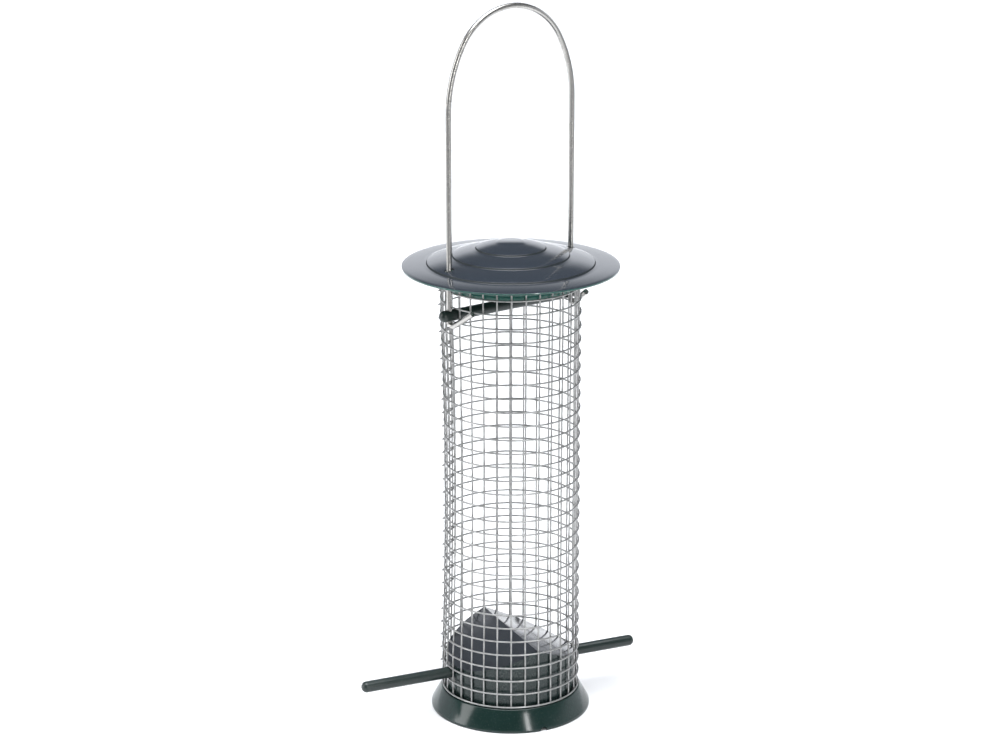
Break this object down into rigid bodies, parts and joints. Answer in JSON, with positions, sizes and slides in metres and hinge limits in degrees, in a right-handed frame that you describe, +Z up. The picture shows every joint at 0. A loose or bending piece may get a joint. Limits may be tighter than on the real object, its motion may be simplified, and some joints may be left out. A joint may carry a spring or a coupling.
{
  "type": "hanging mesh bird feeder",
  "caption": "Hanging wire-mesh peanut feeder with a stepped lift-up lid, wire bail, crossbar, perch rod and flared foot.",
  "frame": {"origin": "on the tube's axis, at floor level under the foot", "axes": "+Z up along the tube, +X along the perch's axis, -Y towards the bail's hooks"},
  "size_m": [0.138, 0.0974, 0.328],
  "materials": {
    "foot_green": "glossy moulded plastic",
    "plug_green": "satin moulded plastic",
    "mesh_wire": "galvanised wire",
    "rod_green": "satin moulded plastic",
    "bail_steel": "bright drawn wire",
    "lid_enamel": "glossy enamel",
    "collar_green": "glossy moulded plastic"
  },
  "bodies": {
    "feeder": {"foot_skirt": "foot_green", "seed_deflector": "plug_green", "mesh_uprights": "mesh_wire", "mesh_rings": "mesh_wire", "crossbar": "rod_green", "bail": "bail_steel"},
    "lid": {"lid_dome": "lid_enamel", "lid_collar": "collar_green"},
    "perch": {"perch": "rod_green"}
  },
  "joints": [
    {"name": "lid_lift", "type": "slide", "parent": "feeder", "child": "lid", "axis": [0, 0, 1], "range_m": [0, 0.075]},
    {"name": "perch_slide", "type": "slide", "parent": "feeder", "child": "perch", "axis": [-1, 0, 0], "range_m": [0, 0.095]}
  ]
}
